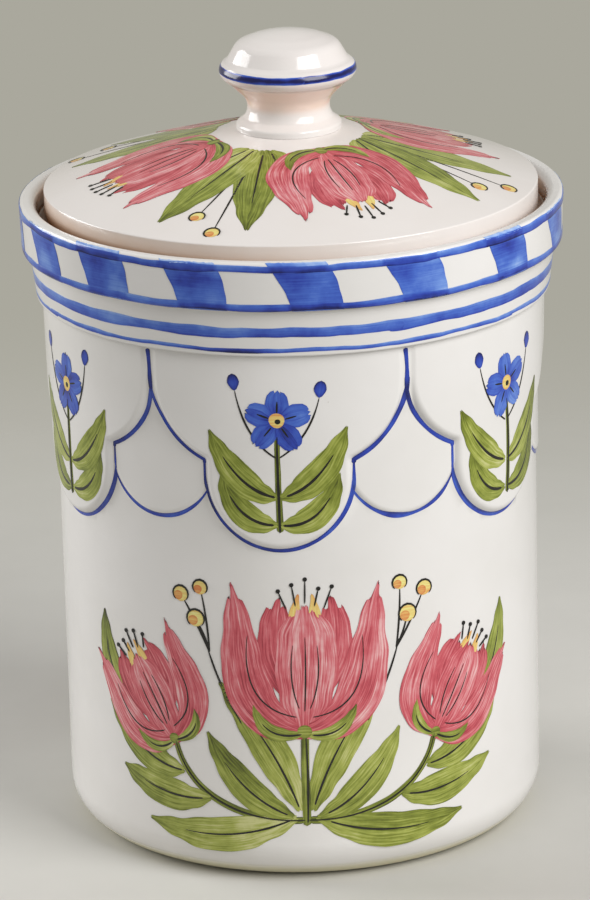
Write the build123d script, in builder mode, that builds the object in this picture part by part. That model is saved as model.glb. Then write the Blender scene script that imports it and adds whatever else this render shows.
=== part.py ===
"""Lidded kitchen canister in slip-cast, glazed earthenware.

Three fired pieces: the jar with its scalloped apron, the loose lid, and the knob stuck to the lid.
Millimetres, +Z up, origin at the centre of the foot, front of the canister towards -Y.
"""

from build123d import *
from math import acos, cos, radians, sin, tan
import os

# Jar body
body_radius = 77.1
body_wall = 5.5
body_height = 175.5
base_rounding = 14.0
base_slope = 14.7
base_flat = 0.1
foot_width = 6.0
foot_outer_rounding = 2.0
foot_recess = 2.0
foot_edge_rounding = 0.9
floor_thickness = 6.0
floor_rounding = 10.0

# Collar under the rim
collar_height = 16.1
collar_overhang = 1.7
collar_flare = 1.8
collar_edge_rounding = 0.8
collar_root_rounding = 0.6

# Rim with the ledge that carries the lid
rim_height = 15.6
rim_overhang = 2.3
rim_flare = 0.5
rim_wall = 5.4
rim_edge_rounding = 0.8
rim_outer_rounding = 1.3
rim_inner_rounding = 2.6
ledge_depth = 7.5
ledge_width = 4.6
ledge_root_rounding = 1.0
ledge_edge_rounding = 0.8
throat_height = 12.5
throat_taper = 14.0
throat_rounding = 6.0

# Scalloped apron moulded on the wall
scallop_count = 6
scallop_turn = -4.5
scallop_drop = 63.0
scallop_lobe_radius = 23.0
scallop_shoulder_radius = 27.0
scallop_cusp_drop = 9.5
scallop_notch_rounding = 1.2
scallop_edge_rounding = 1.2
apron_top_relief = 3.4
apron_low_relief = 2.1
apron_groove_relief = 1.5
pad_drop = 54.6
pad_radius = 20.0
pad_relief = 0.9
pad_edge_rounding = 0.6

# Lid
lid_side_clearance = 2.6
lid_edge_height = 10.8
lid_rise = 17.5
lid_crown = 0.8
lid_thickness = 5.0
lid_edge_rounding = 0.6
lid_foot_rounding = 0.8
lid_hollow_rounding = 5.0
flange_clearance = 1.2
flange_wall = 5.2
flange_depth = 7.5
flange_rounding = 1.8
vent_radius = 3.0

# Knob
knob_foot_radius = 16.8
knob_foot_height = 2.0
knob_foot_rounding = 1.1
knob_neck_radius = 13.4
knob_neck_height = 5.6
knob_flare_radius = 14.8
knob_flare_height = 11.4
knob_bead_radius = 21.8
knob_bead_height = 19.0
knob_bead_half = 3.0
knob_bead_bulge = 2.1
knob_lip_radius = 20.0
knob_lip_height = 22.0
knob_cap_root_radius = 19.1
knob_cap_root_height = 22.9
knob_cap_radius = 16.2
knob_cap_height = 27.9
knob_cap_rounding = 3.5
knob_height = 31.2
knob_wall = 4.6

# Overlap that buries one moulded form in the next
bury = 2.0

# Levels and radii that follow from the sizes above
collar_level = body_height
rim_level = collar_level + collar_height
rim_top = rim_level + rim_height
ledge_level = rim_top - ledge_depth
throat_level = ledge_level - throat_height
floor_level = foot_recess + floor_thickness
inner_radius = body_radius - body_wall
base_run = (
    base_rounding * tan(radians(45 - base_slope / 2))
    + foot_outer_rounding * tan(radians(base_slope / 2))
    + base_flat
)
base_lift = base_run * sin(radians(base_slope))
foot_outer_radius = body_radius - base_run * cos(radians(base_slope))
foot_radius = foot_outer_radius - foot_width
apron_top_radius = body_radius + apron_top_relief
apron_low_radius = body_radius + apron_low_relief
collar_low_radius = apron_top_radius + collar_overhang
collar_top_radius = collar_low_radius + collar_flare
rim_low_radius = collar_top_radius + rim_overhang
rim_top_radius = rim_low_radius + rim_flare
rim_inner_radius = rim_top_radius - rim_wall
throat_radius = rim_inner_radius - ledge_width
lid_radius = rim_inner_radius - lid_side_clearance
lid_edge_level = ledge_level + lid_edge_height
knob_level = lid_edge_level + lid_rise
flange_radius = throat_radius - flange_clearance
flange_bore = flange_radius - flange_wall
flange_level = ledge_level - flange_depth

# Outline of one scallop, laid out flat on the front of the jar
cusp_level = collar_level - scallop_cusp_drop
cusp_half_width = (body_radius + apron_groove_relief) * sin(radians(180 / scallop_count))
shoulder_centre = cusp_half_width - scallop_shoulder_radius
lobe_level = collar_level - scallop_drop + scallop_lobe_radius
notch_angle = acos((scallop_lobe_radius - shoulder_centre) / scallop_shoulder_radius)
notch_level = cusp_level - scallop_shoulder_radius * sin(notch_angle)
shoulder_reach = shoulder_centre + scallop_shoulder_radius * cos(notch_angle / 2)
shoulder_level = cusp_level - scallop_shoulder_radius * sin(notch_angle / 2)
pad_level = collar_level - pad_drop + pad_radius
core_radius = body_radius - body_wall / 2
front_reach = body_radius + 4 * apron_top_relief

# One big scallop: a piece of the tapering apron ring cut to the scallop outline
with BuildPart() as scallop:
    with BuildSketch(Plane.XZ) as apron_section:
        with BuildLine():
            Polyline(
                (core_radius, collar_level - scallop_drop - bury),
                (apron_low_radius, collar_level - scallop_drop - bury),
                (apron_top_radius, collar_level + bury),
                (core_radius, collar_level + bury),
                close=True,
            )
        make_face()
    revolve(axis=Axis.Z)
    with BuildSketch(Plane.XZ) as scallop_outline:
        with BuildLine():
            left_side = Line((-cusp_half_width, collar_level + 2 * bury), (-cusp_half_width, cusp_level))
            left_shoulder = ThreePointArc(
                left_side @ 1,
                (-shoulder_reach, shoulder_level),
                (-scallop_lobe_radius, notch_level),
            )
            left_drop = Line(left_shoulder @ 1, (-scallop_lobe_radius, lobe_level))
            lobe = ThreePointArc(
                left_drop @ 1,
                (0, lobe_level - scallop_lobe_radius),
                (scallop_lobe_radius, lobe_level),
            )
            right_drop = Line(lobe @ 1, (scallop_lobe_radius, notch_level))
            right_shoulder = ThreePointArc(
                right_drop @ 1,
                (shoulder_reach, shoulder_level),
                (cusp_half_width, cusp_level),
            )
            right_side = Line(right_shoulder @ 1, (cusp_half_width, collar_level + 2 * bury))
            Line(right_side @ 1, left_side @ 0)
        make_face()
        notches = [
            scallop_outline.vertices().sort_by_distance((side * scallop_lobe_radius, notch_level))[0]
            for side in (-1, 1)
        ]
        fillet(notches, scallop_notch_rounding)
    extrude(amount=front_reach, mode=Mode.INTERSECT)
    apron_face = scallop.faces().filter_by(GeomType.CONE).sort_by(SortBy.AREA)[-1]
    fillet(apron_face.edges().filter_by_position(Axis.Z, 0, collar_level), scallop_edge_rounding)

# One small scallop: a lower pad that shows between two big ones
with BuildPart() as pad:
    with BuildSketch(Plane.XZ) as pad_section:
        with Locations((core_radius, pad_level - pad_radius - bury)):
            Rectangle(
                body_radius + pad_relief - core_radius,
                cusp_level - pad_level + pad_radius + 2 * bury,
                align=(Align.MIN, Align.MIN),
            )
    revolve(axis=Axis.Z)
    with BuildSketch(Plane.XZ) as pad_outline:
        with Locations((0, pad_level)):
            Circle(pad_radius)
            Rectangle(2 * pad_radius, cusp_level - pad_level + 2 * bury, align=(Align.CENTER, Align.MIN))
    extrude(amount=front_reach, mode=Mode.INTERSECT)
    pad_face = pad.faces().filter_by(GeomType.CYLINDER).sort_by(Axis.Y)[0]
    fillet(pad_face.edges().filter_by_position(Axis.Z, 0, cusp_level), pad_edge_rounding)

# The jar: one revolved wall from foot to rim, with the apron's scallops joined on
with BuildPart() as jar_body:
    with BuildSketch(Plane.XZ) as jar_section:
        with BuildLine():
            FilletPolyline(
                (0, foot_recess),
                (foot_radius - foot_recess, foot_recess),
                (foot_radius, 0),
                (foot_outer_radius, 0),
                (body_radius, base_lift),
                (body_radius, collar_level),
                (collar_low_radius, collar_level),
                (collar_top_radius, rim_level),
                (rim_low_radius, rim_level),
                (rim_top_radius, rim_top),
                (rim_inner_radius, rim_top),
                (rim_inner_radius, ledge_level),
                (throat_radius, ledge_level),
                (throat_radius, throat_level),
                (inner_radius, throat_level - throat_taper),
                (inner_radius, floor_level),
                (0, floor_level),
                radius=[
                    0,
                    foot_edge_rounding,
                    foot_edge_rounding,
                    foot_outer_rounding,
                    base_rounding,
                    0,
                    collar_edge_rounding,
                    collar_root_rounding,
                    rim_edge_rounding,
                    rim_outer_rounding,
                    rim_inner_rounding,
                    ledge_root_rounding,
                    ledge_edge_rounding,
                    throat_rounding,
                    throat_rounding,
                    floor_rounding,
                    0,
                ],
                close=True,
            )
        make_face()
    revolve(axis=Axis.Z)
    with PolarLocations(0, scallop_count, start_angle=scallop_turn):
        add(scallop.part)
    with PolarLocations(0, scallop_count, start_angle=scallop_turn + 180 / scallop_count):
        add(pad.part)

# The lid: a crowned shell with a seat for the ledge, a locating flange and a vent under the knob
with BuildPart() as lid:
    with BuildSketch(Plane.XZ) as lid_section:
        hollow_level = (
            lid_edge_level
            + lid_rise * (lid_radius - flange_bore) / (lid_radius - knob_foot_radius)
            - lid_thickness
        )
        with BuildLine():
            knob_land = Line((vent_radius, knob_level), (knob_foot_radius, knob_level))
            crown = SagittaArc(knob_land @ 1, (lid_radius, lid_edge_level), lid_crown)
            edge = Line(crown @ 1, (lid_radius, ledge_level))
            seat = Line(edge @ 1, (flange_radius, ledge_level))
            flange_side = Line(seat @ 1, (flange_radius, flange_level))
            flange_foot = Line(flange_side @ 1, (flange_bore, flange_level))
            flange_back = Line(flange_foot @ 1, (flange_bore, hollow_level))
            hollow = SagittaArc(flange_back @ 1, (vent_radius, knob_level - lid_thickness), -lid_crown)
            Line(hollow @ 1, knob_land @ 0)
        make_face()
        rounded_corners = (
            (crown @ 1, lid_edge_rounding),
            (edge @ 1, lid_foot_rounding),
            (flange_side @ 1, flange_rounding),
            (flange_foot @ 1, flange_rounding),
            (flange_back @ 1, lid_hollow_rounding),
        )
        for corner, rounding in rounded_corners:
            fillet(lid_section.vertices().sort_by_distance(corner)[0], rounding)
    revolve(axis=Axis.Z)

# The knob: a hollow turned form on a stepped foot, seated flat on the lid
with BuildPart() as lid_knob:
    knob_plane = Plane(origin=(0, 0, knob_level), x_dir=(1, 0, 0), z_dir=(0, -1, 0))
    with BuildSketch(knob_plane) as knob_section:
        with BuildLine():
            knob_foot = Line((0, 0), (knob_foot_radius, 0))
            foot_side = Line(knob_foot @ 1, (knob_foot_radius, knob_foot_height))
            neck = ThreePointArc(
                foot_side @ 1,
                (knob_neck_radius, knob_neck_height),
                (knob_flare_radius, knob_flare_height),
            )
            flare = Line(neck @ 1, (knob_bead_radius - knob_bead_bulge, knob_bead_height - knob_bead_half))
            bead = ThreePointArc(
                flare @ 1,
                (knob_bead_radius, knob_bead_height),
                (knob_lip_radius, knob_lip_height),
            )
            lip = Line(bead @ 1, (knob_cap_root_radius, knob_cap_root_height))
            cap_side = Line(lip @ 1, (knob_cap_radius, knob_cap_height))
            dome = TangentArc((0, knob_height), cap_side @ 1, tangent=(1, 0))
            Line(dome @ 0, knob_foot @ 0)
        make_face()
        fillet(knob_section.vertices().sort_by_distance(cap_side @ 1)[0], knob_cap_rounding)
        fillet(knob_section.vertices().sort_by_distance(foot_side @ 1)[0], knob_foot_rounding)
    revolve(axis=Axis.Z)
    with BuildSketch(knob_plane) as cavity_section:
        cavity_radius = knob_neck_radius - knob_wall
        with BuildLine():
            Polyline(
                (0, 0),
                (cavity_radius, 0),
                (cavity_radius, knob_flare_height),
                (knob_bead_radius - knob_wall, knob_bead_height),
                (knob_cap_radius - knob_wall, knob_cap_height - knob_wall / 2),
                (0, knob_height - knob_wall),
                close=True,
            )
        make_face()
    revolve(axis=Axis.Z, mode=Mode.SUBTRACT)

os.makedirs("parts", exist_ok=True)
jar_body.part.label = "jar_body"
export_step(jar_body.part, "parts/jar_body.step")
lid.part.label = "lid"
export_step(lid.part, "parts/lid.step")
lid_knob.part.label = "lid_knob"
export_step(lid_knob.part, "parts/lid_knob.step")
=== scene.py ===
import math
import random
from types import SimpleNamespace
import bpy
from mathutils import Matrix, Vector
from mathutils.geometry import delaunay_2d_cdt


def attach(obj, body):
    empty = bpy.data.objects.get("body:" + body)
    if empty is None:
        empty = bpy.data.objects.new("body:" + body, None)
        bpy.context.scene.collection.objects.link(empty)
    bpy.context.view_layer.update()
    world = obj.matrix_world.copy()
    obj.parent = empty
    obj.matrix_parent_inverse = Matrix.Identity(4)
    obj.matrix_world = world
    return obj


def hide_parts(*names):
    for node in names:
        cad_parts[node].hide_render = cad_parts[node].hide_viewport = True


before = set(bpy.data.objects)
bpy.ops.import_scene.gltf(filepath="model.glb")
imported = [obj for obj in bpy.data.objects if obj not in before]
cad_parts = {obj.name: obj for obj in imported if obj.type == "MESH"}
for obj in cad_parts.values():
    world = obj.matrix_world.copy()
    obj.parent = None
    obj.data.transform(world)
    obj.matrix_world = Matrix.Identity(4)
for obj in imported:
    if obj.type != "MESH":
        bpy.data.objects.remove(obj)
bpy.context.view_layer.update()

# The jar is slip-cast earthenware with six scallops moulded under its collar, dipped in a warm
# white glaze and fired. It stands on a wiped foot ring, and the ledge in its rim carries the lid.
# All sizes are in millimetres, as in the solids, and angles run from the front towards the right.
mm = 0.001
columns = 180
wall_radius = 77.1
wall_inside = 71.6
foot_inner_radius = 60.3
foot_outer_radius = 66.3
foot_recess = 2.0
base_lift = 2.83
floor_level = 8.0
collar_level = 176.2
collar_foot_radius = 82.2
collar_top_radius = 84.0
rim_level = 191.6
rim_foot_radius = 86.3
rim_top = 207.2
rim_top_radius = 86.8
rim_inside = 81.4
ledge_level = 199.7
throat_radius = 76.8
throat_level = 187.2
throat_foot_level = 173.2
band_low = 104.0
scallop_count = 6
scallop_turn = -4.5
sector = 360 / scallop_count
flat_radius = 78.9
lobe_radius = 23.0
lobe_level = 135.5
shoulder_radius = 27.0
shoulder_centre = 12.3
cusp_level = 166.0
cusp_fill = 0.85
apron_low_relief = 2.1
apron_relief_gain = 1.3 / 67.0
apron_foot_level = 110.5
apron_edge = 2.8
pad_radius = 20.0
pad_level = 140.9
pad_relief = 0.9
pad_edge = 2.0


def rounded_outline(corners, steps=8):
    """Turned outline through (radius, level, rounding) corners, as points with outward normals."""
    outline = []
    for k, (radius, level, rounding) in enumerate(corners):
        here = Vector((radius, level))
        behind = (here - Vector(corners[k - 1][:2])).normalized() if k else None
        ahead = (Vector(corners[k + 1][:2]) - here).normalized() if k + 1 < len(corners) else behind
        behind = behind or ahead
        bend = math.atan2(behind.x * ahead.y - behind.y * ahead.x, behind.dot(ahead))
        side = 1 if bend > 0 else -1
        start = here - behind * rounding * math.tan(abs(bend) / 2)
        centre = start + Vector((-behind.y, behind.x)) * rounding * side
        for i in range(steps + 1 if rounding else 1):
            turn = bend * i / steps
            out = Vector((
                behind.y * math.cos(turn) + behind.x * math.sin(turn),
                behind.y * math.sin(turn) - behind.x * math.cos(turn),
            ))
            outline.append((centre + out * rounding * side, out))
    return outline


def outward(angle):
    """Level direction away from the axis at an angle."""
    return Vector((math.sin(math.radians(angle)), -math.cos(math.radians(angle)), 0))


def new_shell():
    return SimpleNamespace(points=[], normals=[], faces=[])


def add_ring(shell, at, out):
    """One ring of a turned surface, or a single point on the axis; gives its vertex numbers."""
    first = len(shell.points)
    count = columns if at.x > 0.001 else 1
    for c in range(count):
        direction = outward(scallop_turn + 360 * c / columns)
        shell.points.append(direction * at.x + Vector((0, 0, at.y)))
        shell.normals.append(direction * out.x + Vector((0, 0, out.y)))
    return list(range(first, first + count))


def join_rings(shell, low, high):
    for c in range(columns):
        d = (c + 1) % columns
        if len(low) == 1:
            shell.faces.append((low[0], high[d], high[c]))
        elif len(high) == 1:
            shell.faces.append((low[c], low[d], high[0]))
        else:
            shell.faces.append((low[c], low[d], high[d], high[c]))


def turn_outline(shell, outline, below=None, closed=False):
    """Turns an outline into rings, going on from the ring below; gives the last ring."""
    first = None
    for at, out in outline:
        ring = add_ring(shell, at, out)
        first = first or ring
        if below:
            join_rings(shell, below, ring)
        below = ring
    if closed:
        join_rings(shell, below, first)
    return below


def add_object(name, data):
    made = bpy.data.objects.new(name, data)
    bpy.context.collection.objects.link(made)
    return made


def make_piece(name, shell, floats=(), body="jar"):
    """The shell as a smooth piece that rides on its body, with named float values on its points."""
    mesh = bpy.data.meshes.new(name)
    mesh.from_pydata([p * mm for p in shell.points], [], shell.faces)
    mesh.polygons.foreach_set("use_smooth", [True] * len(mesh.polygons))
    for key, values in floats:
        mesh.attributes.new(key, "FLOAT", "POINT").data.foreach_set("value", values)
    mesh.normals_split_custom_set_from_vertices([n.normalized() for n in shell.normals])
    piece = add_object(name, mesh)
    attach(piece, body)
    return piece


def ease(value, low, high):
    t = min(1.0, max(0.0, (value - low) / (high - low)))
    return t * t * (3 - 2 * t)


def soft_max(a, b, softness):
    near = max(softness - abs(a - b), 0) / softness
    return max(a, b) + near * near * softness / 4


def scallop_depth(x, z):
    """How far a point of the flat layout lies inside the big scallop's outline."""
    lobe = lobe_radius - math.hypot(x, min(0, z - lobe_level))
    shoulder = shoulder_radius - math.hypot(max(0, abs(x) - shoulder_centre), min(0, z - cusp_level))
    return soft_max(lobe, shoulder, 1.0)


def pad_depth(turn, z):
    """How far a point lies inside the small scallop between two big ones."""
    x = flat_radius * math.sin(math.radians(sector / 2 - abs(turn)))
    return pad_radius - math.hypot(x, min(0, z - pad_level))


def pillow(depth, edge):
    """Moulded edge: steep at its foot, then rounding off to the flat over the edge's width."""
    t = min(1.0, max(0.0, (depth + 0.2) / edge))
    return 1 - (1 - t) ** 2.2


def jar_radius(angle, z):
    """Radius of the wall with its moulded apron, whose cusps the glaze has filled."""
    turn = (angle - scallop_turn + sector / 2) % sector - sector / 2
    x = flat_radius * math.sin(math.radians(turn))
    apron = apron_low_relief + apron_relief_gain * (z - apron_foot_level)
    filled_cusp = cusp_fill * ease(z, cusp_level - 22, cusp_level + 2)
    apron *= soft_max(pillow(scallop_depth(x, z), apron_edge), filled_cusp, 0.15)
    pad = pad_relief * pillow(pad_depth(turn, z), pad_edge)
    return wall_radius + soft_max(apron, pad, 0.2)


def on_wall(angle, z):
    """Point and normal of the jar's wall at an angle and a level."""
    step = 0.15
    radius = jar_radius(angle, z)
    swing = math.radians(2 * step) * radius
    slope_round = (jar_radius(angle + step, z) - jar_radius(angle - step, z)) / swing
    slope_up = (jar_radius(angle, z + step) - jar_radius(angle, z - step)) / (2 * step)
    normal = outward(angle) - outward(angle + 90) * slope_round - Vector((0, 0, slope_up))
    return outward(angle) * radius + Vector((0, 0, z)), normal.normalized()


def scallop_contour(depth):
    """Right half of the big scallop's outline moved in by depth, from its lowest point to the collar."""
    lobe = lobe_radius - depth
    shoulder = shoulder_radius - depth
    notch = math.acos((lobe - shoulder_centre) / shoulder)
    corners = [
        (lobe * math.sin(math.radians(3 * i)), lobe_level - lobe * math.cos(math.radians(3 * i)))
        for i in range(31)
    ]
    notch_level = cusp_level - shoulder * math.sin(notch)
    corners += [(lobe, lobe_level + (notch_level - lobe_level) * i / 4) for i in range(1, 4)]
    for i in range(25):
        swing = notch * (1 - i / 24)
        corners.append((
            shoulder_centre + shoulder * math.cos(swing),
            cusp_level - shoulder * math.sin(swing),
        ))
    corners += [(shoulder_centre + shoulder, cusp_level + 1.3 * i) for i in range(1, 8)]
    return corners


def pad_contour(depth):
    """Right half of the small scallop's outline moved in by depth, in its own flat layout."""
    radius = pad_radius - depth
    corners = [
        (radius * math.sin(math.radians(4 * i)), pad_level - radius * math.cos(math.radians(4 * i)))
        for i in range(23)
    ]
    return corners + [(radius, pad_level + 1.3 * i) for i in range(1, 8)]


# One sixth of the apron band is laid out flat, with rows of points along its moulded edges.
half_width = flat_radius * math.sin(math.radians(sector / 2))
band_columns = columns // scallop_count
band_rows = 64
levels = [band_low + (collar_level - band_low) * i / band_rows for i in range(band_rows + 1)]
station_turns = [sector * (i / band_columns - 0.5) for i in range(band_columns + 1)]
stations = [flat_radius * math.sin(math.radians(turn)) for turn in station_turns]
layout = [(x, band_low) for x in stations[:-1]]
layout += [(half_width, z) for z in levels[:-1]]
layout += [(x, collar_level) for x in reversed(stations[1:])]
layout += [(-half_width, z) for z in reversed(levels[1:])]
creases = [(i, (i + 1) % len(layout)) for i in range(len(layout))]
rows = []
for depth in (-0.2, 0.1, 0.4, 0.8, 1.3, 1.9, 2.6):
    half = scallop_contour(depth)
    rows.append([(-x, z) for x, z in reversed(half)] + half[1:])
for depth in (-0.2, 0.1, 0.5, 1.0, 1.8):
    for side in (-1, 1):
        row = []
        for x, z in pad_contour(depth):
            turn = sector / 2 - math.degrees(math.asin(x / flat_radius))
            place = (side * flat_radius * math.sin(math.radians(turn)), z)
            row.append(place if scallop_depth(*place) < -0.5 else None)
        rows.append(row)
for row in rows:
    before = None
    for place in row:
        inside = (
            place and abs(place[0]) < half_width - 0.3 and band_low + 0.5 < place[1] < collar_level - 0.5
        )
        if inside:
            layout.append(place)
            if before is not None:
                creases.append((before, len(layout) - 1))
        before = len(layout) - 1 if inside else None
spacing = 3.6
for i in range(-11, 12):
    for k in range(1, 20):
        x = spacing * (i + 0.5 * (k % 2))
        z = band_low + spacing * k
        if abs(x) > half_width - 1.5 or z > collar_level - 1.5:
            continue
        turn = math.degrees(math.asin(x / flat_radius))
        on_edge = -1.2 < scallop_depth(x, z) < 4.0
        on_pad_edge = scallop_depth(x, z) < 0 and -1.2 < pad_depth(turn, z) < 3.0
        if not on_edge and not on_pad_edge:
            layout.append((x, z))
flat_points, _, flat_faces, _, _, _ = delaunay_2d_cdt([Vector(p) for p in layout], creases, [], 0, 1e-4)

jar = new_shell()
foot_outline = rounded_outline([
    (0, foot_recess, 0),
    (foot_inner_radius - foot_recess, foot_recess, 0.9),
    (foot_inner_radius, 0, 0.9),
    (foot_outer_radius, 0, 2.0),
    (wall_radius, base_lift, 13.9),
    (wall_radius, 40.0, 0),
    (wall_radius, 72.0, 0),
], steps=14)
last_foot_ring = turn_outline(jar, foot_outline)
on_border = {}


def border_key(angle, z):
    return round(angle * 100) % 36000, round(z * 100)


for k in range(scallop_count):
    numbers = []
    for x, z in flat_points:
        angle = scallop_turn + sector * k + math.degrees(math.asin(max(-1, min(1, x / flat_radius))))
        border = abs(x) > half_width - 0.01 or z < band_low + 0.01 or z > collar_level - 0.01
        key = border_key(angle, z)
        if border and key in on_border:
            numbers.append(on_border[key])
            continue
        point, normal = on_wall(angle, z)
        jar.points.append(point)
        jar.normals.append(normal)
        numbers.append(len(jar.points) - 1)
        if border:
            on_border[key] = numbers[-1]
    jar.faces += [tuple(numbers[v] for v in face) for face in flat_faces]
band_foot, band_top = [
    [on_border[border_key(scallop_turn + 360 * c / columns, z)] for c in range(columns)]
    for z in (band_low, collar_level)
]
join_rings(jar, last_foot_ring, band_foot)
collar_underside = (80.5, collar_level, 0)
collar_corners = [(collar_foot_radius, collar_level, 0.8), (collar_top_radius, rim_level, 0.6)]
rim_corners = [
    (rim_foot_radius, rim_level, 0.8),
    (rim_top_radius, rim_top, 1.3),
    (rim_inside, rim_top, 2.6),
]
inside_corners = [
    (rim_inside, ledge_level, 1.0),
    (throat_radius, ledge_level, 0.8),
    (throat_radius, throat_level, 6.0),
    (wall_inside, throat_foot_level, 6.0),
    (wall_inside, floor_level, 10.0),
    (0, floor_level, 0),
]
upper_outline = rounded_outline([collar_underside, *collar_corners, *rim_corners, *inside_corners])
turn_outline(jar, upper_outline[1:], band_top)


def linear(colour):
    """Linear colour from an sRGB hex value."""
    parts = [int(colour[i:i + 2], 16) / 255 for i in (1, 3, 5)]
    return [c / 12.92 if c <= 0.04045 else ((c + 0.055) / 1.055) ** 2.4 for c in parts] + [1.0]


def empty_tree(owner):
    """Node tree of a material or world, with nothing in it."""
    owner.use_nodes = True
    owner.node_tree.nodes.clear()
    return owner.node_tree


def add_node(tree, kind, *values, output=0, stops=(), **settings):
    """Adds a node and gives one of its outputs. Values fill its shown inputs in order, and settings its
    own settings or inputs by name, with _ for a space: a socket is linked, a hex colour made linear.
    Stops are the rising positions and hex colours of a colour ramp."""
    made = tree.nodes.new(kind)
    for k, (position, colour) in enumerate(stops):
        elements = made.color_ramp.elements
        element = elements[k] if k < len(elements) else elements.new(position)
        element.position = position
        element.color = linear(colour)
    inputs = {}
    for key, value in settings.items():
        if hasattr(made, key):
            setattr(made, key, value)
        else:
            inputs[made.inputs[key.replace("_", " ")]] = value
    inputs.update(zip([s for s in made.inputs if s.enabled], values))
    for target, value in inputs.items():
        if isinstance(value, bpy.types.NodeSocket):
            tree.links.new(value, target)
        else:
            target.default_value = linear(value) if isinstance(value, str) else value
    outputs = [s for s in made.outputs if s.enabled]
    return outputs[output] if outputs else None


cloud_size = 38.0
mottle_size = 7.0
speck_spacing = 11.0
smear_size = 16.0
peel_size = 9.0
peel_depth = 0.12
# The brown of bare clay, also laid as painted deep shade in the lid's seat and at the foot of the lid's
# side.
bare_clay_and_shade = "#9C6F4B"
iron_speck = "#7F6A55"
# Drab foot band colour: wiped glaze, with painted shade and painted reflection of the floor at the base.
wiped_foot_and_shade = "#DAD4B7"
glaze_ior = 1.52


def tin_glaze(name, white, cloud, thin_glaze_and_shade, wiped_and_shaded_below=-1.0):
    """Opaque white glaze fired on earthenware: a clear gloss over a faintly cloudy white, tan where the
    glaze thins and where shade is painted in, brown where a seat was wiped to the clay and where deeper
    shade is painted in, with a few iron specks and a drab foot band of wiped glaze and painted shade."""
    material = bpy.data.materials.new(name)
    tree = empty_tree(material)
    place = add_node(tree, "ShaderNodeTexCoord", output=3)
    clouds = add_node(tree, "ShaderNodeTexNoise", place, 1 / (cloud_size * mm), 3.0, 0.5)
    colour = add_node(tree, "ShaderNodeValToRGB", clouds, stops=[(0.35, cloud), (0.62, white)])
    # The point attribute gives a tan tint: glaze run thinly, and painted shade in the seat, on the lid's
    # left side and in the knob's neck.
    thin_and_shade_amount = add_node(tree, "ShaderNodeAttribute", attribute_name="thin_glaze_and_shade", output=2)
    mottle = add_node(tree, "ShaderNodeTexNoise", place, 1 / (mottle_size * mm), 4.0, 0.6)
    patchy = add_node(tree, "ShaderNodeMath", mottle, 0.5, 0.75, operation="MULTIPLY_ADD")
    thinned_and_shaded = add_node(tree, "ShaderNodeMath", thin_and_shade_amount, patchy, operation="MULTIPLY", use_clamp=True)
    colour = add_node(tree, "ShaderNodeMix", thinned_and_shaded, colour, thin_glaze_and_shade, data_type="RGBA")
    # Past 1 it turns to bare-clay brown: the wiped seat, and painted deep shade where the lid sits in the
    # rim.
    bare_and_shaded = add_node(tree, "ShaderNodeMath", thin_and_shade_amount, 1.0, operation="SUBTRACT", use_clamp=True)
    colour = add_node(tree, "ShaderNodeMix", bare_and_shaded, colour, bare_clay_and_shade, data_type="RGBA")
    specks = add_node(tree, "ShaderNodeTexVoronoi", place, 1 / (speck_spacing * mm))
    dot = add_node(tree, "ShaderNodeMapRange", specks, 0.018, 0.034, 0.55, 0.0)
    cell = add_node(tree, "ShaderNodeSeparateColor", specks.node.outputs["Color"])
    seldom = add_node(tree, "ShaderNodeMath", cell, 0.86, operation="GREATER_THAN")
    speck = add_node(tree, "ShaderNodeMath", dot, seldom, operation="MULTIPLY")
    colour = add_node(tree, "ShaderNodeMix", speck, colour, iron_speck, data_type="RGBA")
    # Drab band round the foot below a given level: wiped glaze, with painted shade and floor reflection.
    level = add_node(tree, "ShaderNodeSeparateXYZ", place, output=2)
    uneven = add_node(tree, "ShaderNodeMath", mottle, 0.9 * mm, level, operation="MULTIPLY_ADD")
    foot_band_start, foot_band_full = (wiped_and_shaded_below + 1.6) * mm, (wiped_and_shaded_below - 1.0) * mm
    foot_band_mask = add_node(tree, "ShaderNodeMapRange", uneven, foot_band_start, foot_band_full)
    colour = add_node(tree, "ShaderNodeMix", foot_band_mask, colour, wiped_foot_and_shade, data_type="RGBA")
    smear = add_node(tree, "ShaderNodeTexNoise", place, 1 / (smear_size * mm), 5.0, 0.6)
    gloss = add_node(tree, "ShaderNodeMapRange", smear, To_Min=0.07, To_Max=0.17)
    dry = add_node(tree, "ShaderNodeMath", foot_band_mask, 0.4, gloss, operation="MULTIPLY_ADD")
    peel = add_node(tree, "ShaderNodeTexNoise", place, 1 / (peel_size * mm), 2.0, 0.45)
    skin = add_node(tree, "ShaderNodeBump", 0.5, peel_depth * mm, Height=peel)
    surface = add_node(
        tree, "ShaderNodeBsdfPrincipled", Base_Color=colour, Roughness=dry, IOR=glaze_ior, Normal=skin
    )
    add_node(tree, "ShaderNodeOutputMaterial", surface)
    return material


def jar_thin_glaze_and_shade(point):
    """Tan down the throat and brown in the lid's seat, up to 2 where it is brown: glaze run thinly and
    wiped, and painted shade in the recess under the lid.
    """
    radius = math.hypot(point.x, point.y)
    inside = ease(point.z, throat_level - 4.2, throat_level + 4.8)
    inside *= ease(radius, rim_inside + 0.5, rim_inside - 0.2)
    # The seat adds painted shade of the gap under the lid, up to brown.
    seat = ease(point.z, ledge_level - 2.2, ledge_level - 0.4)
    seat *= ease(point.z, ledge_level + 5.1, ledge_level + 1.8)
    return inside * (1 - 0.9 * ease(point.z, rim_top - 3.2, rim_top - 0.8) + seat)


jar_piece = make_piece("glazed_jar", jar, [("thin_glaze_and_shade", [jar_thin_glaze_and_shade(p) for p in jar.points])])
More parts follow.
